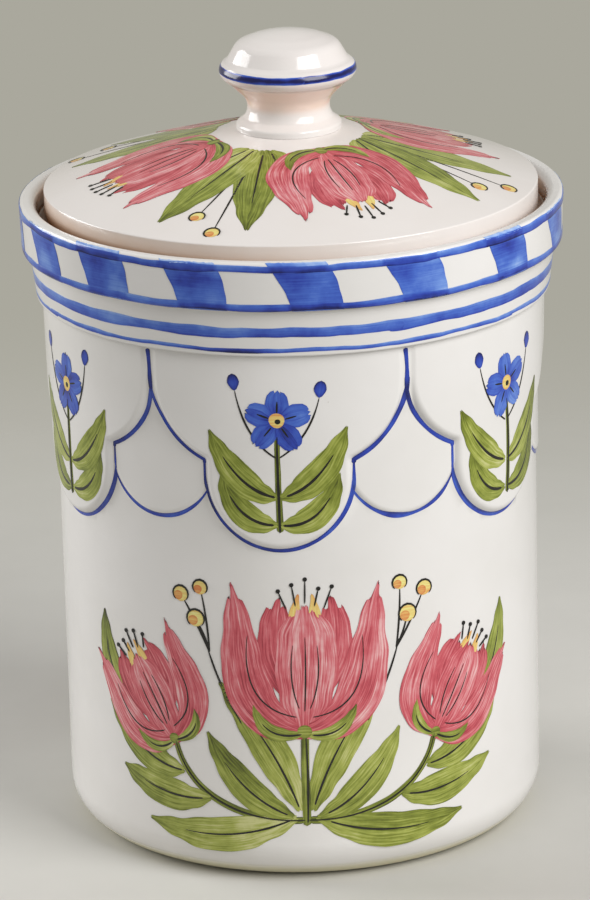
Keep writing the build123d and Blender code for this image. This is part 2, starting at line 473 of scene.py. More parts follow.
# Thin-glaze tan #D3BBA6 doubles as painted shade in the throat and seat; the foot band below 4.8 mm is
# wiped glaze with painted shade.
jar_piece.data.materials.append(tin_glaze("white_tin_glaze", "#E7E4E1", "#E2DFDB", "#D3BBA6", 4.8))
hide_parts("jar_body")

# The lid is a cast, crowned plate in the same glaze. It rests loose on the ledge in the rim, with a
# locating flange below that hangs in the throat, and a small vent under the hollow knob.
lid_radius = 78.8
lid_edge_level = 210.5
lid_tan_shade_level = 206.8
lid_bare_shade_level = 205.2
lid_thickness = 5.0
knob_level = 228.0
knob_seat = 16.8
crown_rise = 0.8
vent_radius = 3.0
flange_radius = 75.6
flange_bore = 70.4
flange_level = 192.2


def circle_through(first, middle, last):
    (ax, ay), (bx, by), (cx, cy) = first, middle, last
    d = 2 * (ax * (by - cy) + bx * (cy - ay) + cx * (ay - by))
    a2, b2, c2 = ax * ax + ay * ay, bx * bx + by * by, cx * cx + cy * cy
    centre = Vector((
        (a2 * (by - cy) + b2 * (cy - ay) + c2 * (ay - by)) / d,
        (a2 * (cx - bx) + b2 * (ax - cx) + c2 * (bx - ax)) / d,
    ))
    return centre, (Vector(first) - centre).length


def arc_through(first, middle, last, steps):
    """Arc of an outline through three points, with normals to the right of the way it runs."""
    centre, radius = circle_through(first, middle, last)
    angles = [math.atan2(p[1] - centre.y, p[0] - centre.x) for p in (first, middle, last)]
    swing = sum((b - a + math.pi) % (2 * math.pi) - math.pi for a, b in zip(angles, angles[1:]))
    arc = []
    for i in range(steps + 1):
        angle = angles[0] + swing * i / steps
        out = Vector((math.cos(angle), math.sin(angle)))
        arc.append((centre + out * radius, out if swing > 0 else -out))
    return arc


def bowed_middle(first, last, rise):
    """Middle of a shallow arc that bulges up from the chord between two points."""
    chord = Vector(last) - Vector(first)
    up = Vector((-chord.y, chord.x)).normalized()
    return (Vector(first) + Vector(last)) / 2 + up * (rise if up.y > 0 else -rise)


crown_top, crown_foot = (knob_seat, knob_level), (lid_radius, lid_edge_level)
crown_middle = bowed_middle(crown_top, crown_foot, crown_rise)
crown_centre, crown_radius = circle_through(crown_top, crown_middle, crown_foot)


def on_crown(radius):
    """Point and normal of the crown's outline at a radius."""
    at = Vector((radius, crown_centre.y + math.sqrt(crown_radius ** 2 - (radius - crown_centre.x) ** 2)))
    return at, (at - crown_centre) / crown_radius


lid = new_shell()
hollow_top = (vent_radius, knob_level - lid_thickness)
crown_slope = (knob_level - lid_edge_level) / (lid_radius - knob_seat)
hollow_foot = (flange_bore, lid_edge_level + crown_slope * (lid_radius - flange_bore) - lid_thickness)
hollow = arc_through(hollow_top, bowed_middle(hollow_top, hollow_foot, crown_rise), hollow_foot, 12)
lid_outline = rounded_outline([
    (0.8 * knob_seat, knob_level, 0),
    (vent_radius, knob_level, 0.4),
    (*hollow_top, 0.4),
    (*hollow[1][0], 0),
])
lid_outline += hollow[2:-2]
lid_outline += rounded_outline([
    (*hollow[-2][0], 0),
    (*hollow_foot, 5.0),
    (flange_bore, flange_level, 1.8),
    (flange_radius, flange_level, 1.8),
    (flange_radius, ledge_level, 0.4),
    (lid_radius, ledge_level, 0.8),
    (lid_radius, lid_bare_shade_level, 0),
    (lid_radius, lid_tan_shade_level, 0),
    (lid_radius, lid_edge_level, 0.6),
    (*on_crown(lid_radius - 2)[0], 0),
])
lid_outline += [on_crown(lid_radius - 4 - (lid_radius - 4 - knob_seat) * i / 15) for i in range(16)]
turn_outline(lid, lid_outline, closed=True)


def lid_thin_glaze_and_shade(point):
    """Tan round the lid's side and browner towards its foot: glaze run thinly, and painted shade that
    grows towards the shaded left. Its seat is wiped to the clay below.
    """
    radius = math.hypot(point.x, point.y)
    side = ease(point.z, lid_edge_level - 0.05, lid_edge_level - 0.7)
    side *= ease(radius, lid_radius - 1.8, lid_radius - 0.5)
    # Painted shade: the tint grows from the lit right to the shaded left.
    side *= 0.05 + 0.85 * ease(point.x, 45, -55)
    # Browner towards the foot of the side: painted shade where the lid sits in the rim, on wiped glaze.
    side *= 1 + 0.85 * ease(point.z, lid_tan_shade_level, lid_bare_shade_level)
    seat = ease(point.z, ledge_level + 1.1, ledge_level + 0.5)
    seat *= ease(radius, flange_radius + 0.2, flange_radius + 1.2)
    return side + 1.8 * seat


lid_tint_and_shade = [lid_thin_glaze_and_shade(p) for p in lid.points]
lid_piece = make_piece("glazed_lid", lid, [("thin_glaze_and_shade", lid_tint_and_shade)], "lid")
# Tan #D8C0AC: glaze run thinly, and painted shade round the lid's side.
lid_piece.data.materials.append(tin_glaze("white_lid_glaze", "#E8E2DE", "#E4DDD8", "#D8C0AC"))
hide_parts("lid")

# The knob is a hollow turned form on a stepped foot, stuck to the lid with slip before firing and
# glazed with it. Its bead carries the blue line, and its neck is tinted warm: glaze run thinly, and
# painted shade under the bead.
knob_height = 31.5
knob_cap = (16.2, 27.9)
knob_bead = ((19.7, 16.0), (21.8, 19.0), (20.0, 22.0))
knob_step = (19.1, 22.9)
knob_neck = ((knob_seat, 2.0), (13.4, 5.6), (14.8, 11.4))
knob_cavity = [(0, 26.6, 0), (11.6, 25.6, 2.0), (17.2, 19.0, 2.0), (8.8, 11.4, 2.0), (8.8, 0, 0.4)]
dome_radius = (knob_cap[0] ** 2 + (knob_height - knob_cap[1]) ** 2) / (2 * (knob_height - knob_cap[1]))


def on_dome(radius):
    return radius, knob_height - dome_radius + math.sqrt(dome_radius ** 2 - radius ** 2)


neck = arc_through(*knob_neck, 16)
knob_outline = rounded_outline([
    *knob_cavity,
    (knob_seat, 0, 0.3),
    (*knob_neck[0], 1.1),
    (*neck[4][0], 0),
])
outside_start = len(knob_outline) - 10
knob_outline += neck[5:]
flare = [Vector(knob_neck[2]).lerp(Vector(knob_bead[0]), t) for t in (0, 0.8, 1)]
knob_outline += rounded_outline([(*point, 0) for point in flare])[1:2]
knob_outline += arc_through(*knob_bead, 16)
knob_outline += rounded_outline([
    (*knob_bead[2], 0),
    (*knob_step, 0.6),
    (*knob_cap, 5.0),
    (*on_dome(12.0), 0),
])[1:]
knob_outline += rounded_outline([(*on_dome(2.0 * r), 0) for r in (5, 4, 3, 2, 1, 0)])
knob_outline[-1] = (knob_outline[-1][0], Vector((0, 1)))
knob_outline = [(at + Vector((0, knob_level)), out) for at, out in knob_outline]
knob = new_shell()
turn_outline(knob, knob_outline)


def knob_thin_glaze_and_shade(point):
    """Warm tint in the neck, up to the underside of the bead: glaze run thinly, and painted shade under
    the bead.
    """
    height = point.z - knob_level
    return 0.5 * ease(height, 6.0, 9.5) * ease(height, 16.2, 15.0)


knob_tint_and_shade = [knob_thin_glaze_and_shade(p) for p in knob.points]
knob_piece = make_piece("glazed_knob", knob, [("thin_glaze_and_shade", knob_tint_and_shade)], "lid")
# Warm tint #FFD8BE: glaze run thinly, and painted shade in the neck under the bead.
knob_piece.data.materials.append(tin_glaze("white_knob_glaze", "#EAE5E1", "#E6DFDB", "#FFD8BE"))
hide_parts("lid_knob")

# The rim's blue checks are brushed by hand round the outside of the rim: a row of broad slanting
# dabs of cobalt, then a watery line along each edge that darkens where it crosses them.
paint_depth = 0.05
paint_step = 0.012
paint_root = 0.08
hand = random.Random(11)


def new_paint():
    return SimpleNamespace(points=[], normals=[], faces=[], load=[], stroke=[])


def measure(points):
    """Running lengths of a row of points, and a finder of the span and the share of it at a length."""
    run = [0.0]
    for a, b in zip(points, points[1:]):
        run.append(run[-1] + (b - a).length)

    def find(s):
        k = 0
        while k < len(run) - 2 and run[k + 1] < s:
            k += 1
        return k, (s - run[k]) / max(run[k + 1] - run[k], 1e-6)

    return run, find


def on_outline(outline, reference, level_at):
    """Places (distance round, distance along the outline): the second equals the level at level_at."""
    run, find = measure([at for at, _ in outline])
    nearest = min(range(1, len(outline)), key=lambda i: abs(outline[i][0].y - level_at))
    offset = outline[nearest][0].y - run[nearest]

    def place(around, along):
        k, t = find(along - offset)
        at = outline[k][0].lerp(outline[k + 1][0], t)
        out = outline[k][1].lerp(outline[k + 1][1], min(1, max(0, t)))
        direction = outward(math.degrees(around / reference))
        up = Vector((0, 0, 1))
        return direction * at.x + up * at.y, (direction * out.x + up * out.y).normalized()

    return place


def bow(*controls):
    """A smooth bowed path drawn from a few control points."""
    def at(t):
        points = [Vector(p) for p in controls]
        while len(points) > 1:
            points = [a.lerp(b, t) for a, b in zip(points, points[1:])]
        return points[0]
    return at


def trace(corners):
    """A path that runs along a row of points at an even pace."""
    points = [Vector(p) for p in corners]
    run, find = measure(points)

    def at(t):
        k, share = find(t * run[-1])
        return points[k].lerp(points[k + 1], share)
    return at


def swell(values, t):
    """Eased value at t of a row of evenly spaced values."""
    s = min(max(t, 0), 1) * (len(values) - 1)
    k = min(int(s), len(values) - 2)
    f = s - k
    f = f * f * (3 - 2 * f)
    return values[k] * (1 - f) + values[k + 1] * f


def waver(size):
    """A slow hand tremor along a stroke, up to about the size given."""
    waves = [
        (hand.uniform(0.5, 1) * size / n, hand.uniform(0.12, 0.22) * n, hand.uniform(0, 6.28))
        for n in (1, 2, 3, 4)
    ]
    return lambda s: sum(height * math.sin(rate * s + phase) for height, rate, phase in waves)


def brush(paint, place, path, widths, layer, load, edge=0.2, tip=0.15, ragged=(0, 0), tremor=0.1,
          blunt=(False, False), rows=None, across_way=None, pools=(), fade=0.0, sag=0.0):
    """Lays one brush stroke of pigment as a thin closed film on a surface. widths are half widths along
    the path, ragged is how far single bristles run past its start and end, and load is the pigment: it
    fades along the stroke, gathers at its edge and tip and in pools (along, across, size, amount), and
    sag is how much of it ran down to the lower edge."""
    length = sum((path(i / 40) - path((i + 1) / 40)).length for i in range(40))
    count = rows or max(8, int(length / 1.0))
    across = max(4, int(2 * max(widths) / (0.6 if max(ragged) else 1.3)))
    sides = [waver(tremor), waver(tremor)]
    bristles = [[hand.random() ** 2 for _ in range(across + 1)] for _ in range(2)]
    uv_shift = Vector((hand.uniform(0, 500), hand.uniform(0, 500)))
    own_load = load + hand.uniform(-0.06, 0.06)
    lift = paint_depth + paint_step * layer
    first = len(paint.points)
    for i in range(count + 1):
        u = i / count
        t = 0.5 * u + 0.5 * (0.5 - 0.5 * math.cos(math.pi * u))
        centre = path(t)
        ahead = path(min(1, t + 0.004)) - path(max(0, t - 0.004))
        ahead = ahead.normalized() if ahead.length > 1e-9 else Vector((1, 0))
        left = across_way or Vector((-ahead.y, ahead.x))
        s = t * length
        half = swell(widths, t)
        for end, gone in enumerate((s, length - s)):
            cap = min(swell(widths, 0.06 if end == 0 else 0.94), length / 2)
            if not blunt[end] and gone < cap:
                half *= math.sqrt(max(0.0, 1 - ((cap - gone) / cap) ** 2))
        half = max(half, 0.02)
        for j in range(across + 1):
            v = 2 * j / across - 1
            v = 0.75 * v + 0.25 * math.sin(v * math.pi / 2)
            reach = half * v + (sides[0](s) if v < 0 else sides[1](s)) * min(1, half / 1.5) * abs(v)
            before = ragged[0] * bristles[0][j] * ease(t, 0.4, 0)
            beyond = ragged[1] * bristles[1][j] * ease(t, 0.6, 1)
            at = centre + left * reach + ahead * (beyond - before)
            point, normal = place(at.x, at.y)
            amount = own_load + fade * (0.5 - t) - sag * v
            gathered = edge if v < 0 else edge - 2 * sag
            amount += gathered * math.exp(-half * (1 - abs(v)) / 0.45) * min(1, half / 0.8)
            amount += tip * math.exp(-(length - s) / 2.2) + 0.5 * tip * math.exp(-s / 1.6)
            for pool_along, pool_across, size, extra in pools:
                gap = math.hypot(s - pool_along * length, half * (v - pool_across))
                amount += extra * math.exp(-((gap / size) ** 2))
            paint.points.append(point + normal * lift)
            paint.normals.append(normal)
            paint.load.append(amount)
            paint.stroke.append(uv_shift + Vector((half * v, s) if across_way else (s, half * v)))
    size = (count + 1) * (across + 1)
    for k in range(first, first + size):
        normal = paint.normals[k]
        paint.points.append(paint.points[k] - normal * (lift + paint_root))
        paint.normals.append(-normal)
        paint.load.append(paint.load[k])
        paint.stroke.append(paint.stroke[k])
    grid = [[first + i * (across + 1) + j for j in range(across + 1)] for i in range(count + 1)]
    for near, far in zip(grid, grid[1:]):
        for j in range(across):
            quad = (near[j], far[j], far[j + 1], near[j + 1])
            paint.faces.append(quad)
            paint.faces.append(tuple(q + size for q in quad[::-1]))
    border = [row[0] for row in grid[:-1]] + grid[-1][:-1]
    border += [row[-1] for row in grid[:0:-1]] + grid[0][:0:-1]
    for a, b in zip(border, border[1:] + border[:1]):
        paint.faces.append((a, a + size, b + size, b))


streak_length = 14.0
wash_size = 6.5


def brushed_pigment(name, stops, streak=0.8, blotch=0.6, bristle=0.55):
    """Pigment brushed on raw glaze and fired into it: see-through where the brush ran dry, dark where it
    pooled, with bristle streaks along each stroke, under the same gloss as the glaze."""
    material = bpy.data.materials.new(name)
    tree = empty_tree(material)
    along = add_node(tree, "ShaderNodeUVMap", uv_map="stroke")
    stretch = add_node(tree, "ShaderNodeMapping", along, Scale=(1 / streak_length, 1 / bristle, 1))
    hairs = add_node(tree, "ShaderNodeTexNoise", stretch, 1.0, 3.0, 0.6, noise_dimensions="2D")
    place = add_node(tree, "ShaderNodeTexCoord", output=3)
    wash = add_node(tree, "ShaderNodeTexNoise", place, 1 / (wash_size * mm), 4.0, 0.55)
    load = add_node(tree, "ShaderNodeAttribute", attribute_name="load", output=2)
    streaked = add_node(tree, "ShaderNodeMath", hairs, streak, load, operation="MULTIPLY_ADD")
    washed = add_node(tree, "ShaderNodeMath", wash, blotch, streaked, operation="MULTIPLY_ADD")
    middle = (streak + blotch) / 2
    even = add_node(tree, "ShaderNodeMath", washed, middle, operation="SUBTRACT", use_clamp=True)
    colour = add_node(tree, "ShaderNodeValToRGB", even, stops=stops)
    gloss = add_node(tree, "ShaderNodeMapRange", wash, To_Min=0.10, To_Max=0.24)
    skin = add_node(tree, "ShaderNodeBump", 0.25, 0.02 * mm, Height=hairs)
    surface = add_node(
        tree, "ShaderNodeBsdfPrincipled", Base_Color=colour, Roughness=gloss, IOR=glaze_ior, Normal=skin
    )
    add_node(tree, "ShaderNodeOutputMaterial", surface)
    return material


def paint_piece(name, paint, pigment, body="jar"):
    """Makes the strokes laid so far into one piece of that pigment."""
    piece = make_piece(name, paint, [("load", paint.load)], body)
    layer = piece.data.uv_layers.new(name="stroke")
    corners = [0] * len(piece.data.loops)
    piece.data.loops.foreach_get("vertex_index", corners)
    layer.data.foreach_set("uv", [c for v in corners for c in paint.stroke[v]])
    piece.data.materials.append(pigment)
    return piece


# Cobalt oxide in water: a clear blue that fires pale where it is thin and near black where it pools.
cobalt = brushed_pigment("brushed_cobalt_blue", [
    (0.0, "#A9C2EA"), (0.25, "#6E92DA"), (0.5, "#4468C5"), (0.75, "#2941A8"), (1.0, "#080E52"),
], 0.3, 0.6)
rim_ends = (collar_top_radius, rim_level, 0), (rim_inside, rim_top, 0)
rim_outline = rounded_outline([rim_ends[0], *rim_corners[:2], rim_ends[1]])
rim_radius = 86.6
on_rim = on_outline(rim_outline, rim_radius, 199.5)
check_angles = [-63.8, -42.9, -20.5, 2.7, 26.2, 50.9, 74.6]
hidden_step = (360 + check_angles[0] - check_angles[-1]) / 10
check_angles += [check_angles[6] + hidden_step * k + hand.uniform(-0.7, 0.7) for k in range(1, 10)]
checks = new_paint()
for angle in check_angles:
    centre = math.radians(angle) * rim_radius
    slant = hand.uniform(2.2, 3.4)
    half = hand.uniform(8.3, 9.0)
    path = bow(
        (centre - slant, rim_top - 0.3 + hand.uniform(-0.7, 0.6)),
        (centre + 0.2, 202.4),
        (centre + 0.8 * slant, 197.2),
        (centre + slant, rim_level + 0.2),
    )
    pools = [
        (hand.uniform(0.2, 0.4), hand.uniform(-0.7, 0.3), hand.uniform(4, 6), hand.uniform(0.24, 0.38)),
        (hand.uniform(0.3, 0.9), hand.uniform(-0.8, 0.8), hand.uniform(3, 5), hand.uniform(0.05, 0.2)),
        (hand.uniform(0.6, 0.9), hand.uniform(0, 0.9), hand.uniform(4, 6), hand.uniform(-0.34, -0.18)),
    ]
    pools += [(0, across, 2.4, -0.5) for across in (-0.9, -0.45, 0, 0.45, 0.9)]
    widths = [half * w for w in (1.08, 1.06, 0.98, 0.92)]
    load = hand.uniform(0.44, 0.56)
    brush(checks, on_rim, path, widths, 3, load, 0.06, 0.05, (0.4, 0.1), 0.2, (True, True), 28,
          Vector((1, 0)), pools)
paint_piece("rim_checks", checks, cobalt)

lines = new_paint()
rim_middle = 199.2
check_rise = 6.2
check_lean = 1.6


def check_cover(point):
    """How much of a slanting check lies under a point of a line, where the two coats of blue add up."""
    rise = (point.z - rim_middle) / check_rise
    angle = math.degrees(math.atan2(point.x, -point.y)) + check_lean * rise
    gap = min(abs((angle - a + 180) % 360 - 180) for a in check_angles)
    return ease(gap, 6.0 + 0.4 * rise, 5.4 + 0.4 * rise)


def brush_band(paint, place, reference, level, half, layer, load, drift, uneven, start, edge=0.12,
               sag=0.12):
    """One banding line brushed round in three passes whose ends overlap."""
    for k in range(3):
        first = math.radians(start + 120 * k) * reference
        last = math.radians(start + 120 * k + 124) * reference
        rise = waver(drift)
        path = trace([(first + (last - first) * i / 60, level + rise(i * 3.0)) for i in range(61)])
        widths = [half * hand.uniform(1 - uneven, 1 + uneven) for _ in range(14)]
        pools = [
            (hand.random(), hand.uniform(-0.5, 0.5), 9.0, hand.uniform(-0.14, 0.2)) for _ in range(6)
        ]
        brush(paint, place, path, widths, layer + k % 2, load, edge, 0.1, rows=150, pools=pools, sag=sag)


for level, load, start in ((205.3, 0.58, 150), (193.0, 0.57, 165)):
    brush_band(lines, on_rim, rim_radius, level, 1.15, 5, load, 0.2, 0.2, start)
for k, point in enumerate(lines.points):
    lines.load[k] += 0.22 * check_cover(point)
collar_radius = 83.1
on_collar = on_outline(rounded_outline([collar_underside, *collar_corners]), collar_radius, 184.0)
for level, half, load, uneven, start in ((184.2, 1.72, 0.56, 0.12, 140), (178.3, 0.68, 0.46, 0.25, 172)):
    brush_band(lines, on_collar, collar_radius, level, half, 0, load, 0.2, uneven, start)
paint_piece("rim_and_collar_lines", lines, cobalt)

# The knob's blue line is one full brush of cobalt, run round the widest part of its bead on a
# banding wheel, so it is darker and more even than the lines on the jar.
knob_band = new_paint()
bead_radius, bead_rise = knob_bead[1]
bead_level = knob_level + bead_rise
on_knob = on_outline(knob_outline[outside_start:], bead_radius, bead_level)
brush_band(knob_band, on_knob, bead_radius, bead_level + 0.9, 1.2, 0, 1.05, 0.05, 0.05, 130, -0.7, 0)
paint_piece("knob_line", knob_band, cobalt, "lid")

# The scallops are outlined in cobalt with the point of a brush, along the foot of the moulding: one
# stroke under each lobe, one up each shoulder, and one short upright at each cusp.
outlines = new_paint()


def on_scallop(k):
    """Places the flat layout of the k-th big scallop, or of the small one to its right at k + 1/2."""
    def place(x, z):
        return on_wall(scallop_turn + sector * k + math.degrees(math.asin(x / flat_radius)), z)
    return place


def fine_widths(low, high):
    return [low * 0.8] + [hand.uniform(low, high) for _ in range(4)] + [low * 0.7]


edge_line = scallop_contour(-0.45)
lobe_side = edge_line[:35]
shoulder_side = edge_line[33:59]
under_lobe = [(-x, z) for x, z in reversed(lobe_side)] + lobe_side[1:]
pad_side = [(x, z) for x, z in pad_contour(-0.45) if x < 17.9 and z < pad_level]
under_pad = [(-x, z) for x, z in reversed(pad_side)] + pad_side[1:]
for k in range(scallop_count):
    heavy = hand.uniform(0.75, 1.1)
    for place, corners, low, layer, rows in (
        (on_scallop(k), under_lobe, 0.5, 0, 110),
        (on_scallop(k + 0.5), under_pad, 0.45, 1, 64),
    ):
        widths = fine_widths(low, heavy)
        brush(outlines, place, trace(corners), widths, layer, 0.74, 0.1, 0.15, tremor=0.14, rows=rows,
              fade=hand.uniform(-0.4, 0.4))
    for side, high in ((-1, hand.uniform(0.42, 0.7)), (1, hand.uniform(0.5, 0.85))):
        shoulder = trace([(side * x, z) for x, z in shoulder_side])
        widths = [hand.uniform(0.85, 1.1) * high for _ in range(5)] + [0.6 * high]
        brush(outlines, on_scallop(k), shoulder, widths, 2, 0.74, 0.1, 0.15, tremor=0.14, rows=56,
              fade=hand.uniform(-0.4, 0.4))
    upright = bow((hand.uniform(-1.2, 0), collar_level - 0.9), (0.2, 170), (-0.1, cusp_level - 4))
    brush(outlines, on_scallop(k + 0.5), upright, [0.85, 0.65, 0.6, 0.75, 0.6], 3, 0.8, 0.1, 0.2, rows=30)
paint_piece("scallop_outlines", outlines, cobalt)

# In each big scallop stands a sprig brushed freehand: a blue five-petalled flower with a yellow eye,
# on an olive stem with leaves that have dark veins.
# Copper green dulled with iron, brushed thin so that the bristles show as light and dark streaks.
olive = brushed_pigment("brushed_olive_green", [
    (0.0, "#C9C98A"), (0.25, "#A6AD52"), (0.55, "#7F8930"), (0.8, "#5B6419"), (1.0, "#3D430E"),
], 1.1, 0.7)
# Manganese black-brown for drawn lines, and a yellow that turns orange where it lies thick.
umber = brushed_pigment("brushed_black_brown", [(0.0, "#6B675A"), (0.35, "#1F1D17"), (1.0, "#0B0A07")])
yellow = brushed_pigment("brushed_yellow", [
    (0.0, "#F0E8B4"), (0.35, "#E7DC86"), (0.65, "#E3B668"), (1.0, "#D27C46"),
])


def shift(point, size):
    return (point[0] + hand.uniform(-size, size), point[1] + hand.uniform(-size, size))


def mirrored(side, *spots):
    return [(side * x, z) for x, z in spots]


def fan(paint, place, spine, widths, layer, load, strokes, ragged=1.2, fade=0.2):
    """A petal or leaf brushed in a few strokes side by side along its spine, the outer ones first, whose
    streaked ends make its ragged tip."""
    spread = 0.8 * (strokes - 1)
    asides = sorted([2 * k / (strokes - 1) - 1 for k in range(strokes)], key=abs, reverse=True)
    for k, aside in enumerate(asides):
        reach = 1 - ragged * (0.07 * aside * aside + hand.uniform(0, 0.03))

        def path(t):
            s = t * reach
            ahead = spine(min(1, s + 0.01)) - spine(max(0, s - 0.01))
            left = Vector((-ahead.y, ahead.x)).normalized()
            return spine(s) + left * aside * swell(widths, s) * spread / (1 + spread)

        halves = [swell(widths, reach * i / 6) / (1 + spread) for i in range(7)]
        own_load = load + hand.uniform(-0.1, 0.1)
        brush(paint, place, path, halves, layer + 0.5 * k, own_load, 0.12, 0.2, (0, ragged), 0.2,
              (False, halves[-1] > 1), fade=fade)


def new_paints():
    return SimpleNamespace(petals=new_paint(), leaves=new_paint(), lines=new_paint(), yellow=new_paint())


def paint_pieces(paints, pigment, names, body="jar"):
    """Makes a group's petals, leaves, lines and yellow dabs into a piece each, under these names."""
    for name, paint, colour in zip(names, vars(paints).values(), (pigment, olive, umber, yellow)):
        paint_piece(name, paint, colour, body)


def leaf(place, paints, base, bend, tip, half, layer, vein=0.75, ink=0.3):
    """A leaf in two pressed strokes, broad in the middle and pointed, with a fine dark vein on it."""
    spine = bow(base, shift(bend, 0.8), shift(tip, 0.8))
    widths = [half * w for w in (0.2, 0.68, 1.0, 0.94, 0.6, 0.1)]
    load = hand.uniform(0.3, 0.52)
    fan(paints.leaves, place, spine, widths, layer, load, 2, 0.05, hand.uniform(-0.5, 0.2))
    start = hand.uniform(0.02, 0.1)

    def drawn(t):
        return spine(start + (vein - start) * t)

    widths = [ink * w for w in (0.9, 1.2, 1.05, 0.8, 0.4)]
    brush(paints.lines, place, drawn, widths, layer + 1.5, 0.7, 0.05, 0.1)


def dab(place, paint, centre, radius, layer, load, tremor=0.12):
    x, z = centre
    path = bow((x - radius, z), (x, z + 0.15 * radius), (x + radius, z))
    brush(paint, place, path, [radius] * 3, layer, load, 0.2, 0.1, tremor=tremor, rows=14)


def fine_line(place, paints, controls, half, layer=12):
    widths = [half * w for w in (0.7, 1, 0.9, 0.4)]
    brush(paints.lines, place, bow(*controls), widths, layer, 0.75, 0.05, 0.1)


sprigs = new_paints()
flower = Vector((0, 155))
for k in range(scallop_count):
    place = on_scallop(k)
    stem = ((hand.uniform(-1, 1), 118.5), (hand.uniform(-2, 2), 136), (0, 150))
    brush(sprigs.leaves, place, bow(*stem), [1.1, 0.95, 0.8], 0, 0.55)
    fine_line(place, sprigs, stem, 0.42)
    for side in (-1, 1):
        for spots, half, layer in (
            (((0.4, 121), (14, 120), (18, 138)), 4.6, 1),
            (((0.4, 130), (13, 132), (21, 152)), 4.9, 3),
        ):
            leaf(place, sprigs, *mirrored(side, *spots), half, layer, ink=0.42)
        bud = Vector((side * hand.uniform(12, 14), hand.uniform(162, 165)))
        fine_line(place, sprigs, ((side * 0.5, 143), (side * 10, 149), bud), 0.34, 5)
        bud_tip = bud + Vector((side * 0.8, 5.4))
        brush(sprigs.petals, place, bow(bud, bud_tip), [0.8, 1.9, 1.3], 6, 0.6, 0.2, 0.3)
    spin = hand.uniform(-12, 12)
    for petal in range(5):
        turned = math.radians(72 * petal + spin)
        way = Vector((math.sin(turned), math.cos(turned)))
        spine = bow(flower + way * 1.5, flower + way * 5, flower + way * hand.uniform(9.8, 11.0))
        load = hand.uniform(0.4, 0.62)
        fan(sprigs.petals, place, spine, [1.0, 2.7, 3.8, 3.4, 1.7], 6 + petal % 3, load, 3, 0.4, 0.3)
        fine_line(place, sprigs, [flower + way * reach for reach in (2.6, 4.6, 6.4)], 0.28)
    dab(place, sprigs.yellow, flower, 2.4, 10, 0.45)
    dab(place, sprigs.lines, flower + Vector((0.3, -0.2)), 0.9, 12, 0.7)
sprig_names = "scallop_flowers", "scallop_leaves", "scallop_veins", "scallop_flower_eyes"
paint_pieces(sprigs, cobalt, sprig_names)

# Front and back of the wall carry a spray of three rose tulips with olive leaves and yellow berries,
# brushed with a flat brush whose bristles leave streaks, and finished with fine dark lines.
# The rose is a chrome and tin pink that lets the glaze show through between the bristle marks.
rose = brushed_pigment("brushed_rose", [
    (0.0, "#E9BDBB"), (0.25, "#DA888D"), (0.5, "#CB5C65"), (0.75, "#B4434F"), (1.0, "#8C2C36"),
], 1.5, 0.6, 0.6)


def tulip(place, paints, base, heading, length, width):
    """An open tulip that grows from its base towards its heading, in degrees from upright."""
    ahead = Vector((math.sin(math.radians(heading)), math.cos(math.radians(heading))))
    aside = Vector((ahead.y, -ahead.x))

    def at(x, y):
        return Vector(base) + aside * (x * width) + ahead * (y * length)

    def petal(controls, widths, layer, load, strokes):
        spine = bow(*[at(x, y) for x, y in controls])
        fan(paints.petals, place, spine, [width * w for w in widths], layer, load, strokes)

    def line(half, *spots):
        fine_line(place, paints, [at(*spot) for spot in spots], half)

    for side in (-1, 1):
        tip = hand.uniform(0.9, 0.96)
        controls = mirrored(side, (0.05, 0.2), (0.3, 0.5), (0.19, tip))
        petal(controls, (0.05, 0.11, 0.14, 0.12, 0.05), 3, 0.62, 3)
        spine = bow(at(side * 0.08, 0.5), at(side * 0.1, 0.75), at(side * 0.05, 0.97))
        widths = [width * w for w in (0.02, 0.05, 0.045, 0.01)]
        brush(paints.yellow, place, spine, widths, 5, 0.5, 0.1, 0.3)
    tip = hand.uniform(0.82, 0.88)
    lean = hand.uniform(-0.04, 0.04)
    petal(((0, -0.03), (lean, 0.45), (0, tip)), (0.08, 0.2, 0.24, 0.22, 0.1), 6, 0.36, 5)
    for side in (-1, 1):
        tip = hand.uniform(0.98, 1.05)
        controls = mirrored(side, (0, -0.03), (0.6, 0.04), (0.43, 0.62), (0.56, tip))
        petal(controls, (0.06, 0.15, 0.185, 0.16, 0.1, 0.02), 7, 0.42, 4)
        line(0.25, *mirrored(side, (0.06, 0.08), (0.5, 0.14), (0.43, 0.66)))
        line(0.22, *mirrored(side, (0.04, 0.14), (0.13, 0.34), (0.09, 0.6)))
        sepal = at(0, -0.04), at(side * 0.3, -0.1), at(side * 0.38, 0.17)
        leaf(place, paints, *sepal, 0.06 * width, 10, 0.7)
    dab(place, paints.leaves, at(0, -0.03), 0.055 * width, 11, 0.45)
    line(0.25, (0, 0.12), (0.01, 0.4), (0, 0.66))
    for k in range(-2, 3):
        stem = at(k * 0.07, 0.9 - 0.02 * abs(k))
        top = at(k * 0.1, 1.06 + 0.03 * hand.uniform(-1, 1) - 0.03 * abs(k))
        fine_line(place, paints, (stem, stem.lerp(top, 0.5), top), 0.26)
        dab(place, paints.lines, top, 0.68, 12, 0.7, 0.04)


def berry(place, paints, centre, radius, stalk):
    x, z = centre
    bend = 0.5 * (stalk[0] + x) + 1.0, 0.5 * (stalk[1] + z)
    fine_line(place, paints, (stalk, bend, centre), 0.34, 2)
    dab(place, paints.yellow, centre, radius, 4, 0.3)
    dab(place, paints.yellow, (x - 0.3 * radius, z - 0.28 * radius), 0.55 * radius, 5, 0.72)
    turns = [math.radians(a) for a in range(-140, 150, 10)]
    ring = [(x + radius * math.sin(turn), z + radius * math.cos(turn)) for turn in turns]
    widths = [0.16, 0.3, 0.34, 0.26, 0.14]
    brush(paints.lines, place, trace(ring), widths, 12, 0.7, 0.05, 0.1, tremor=0.08)


def on_body(centre):
    def place(around, level):
        return on_wall(centre + math.degrees(around / wall_radius), level)
    return place


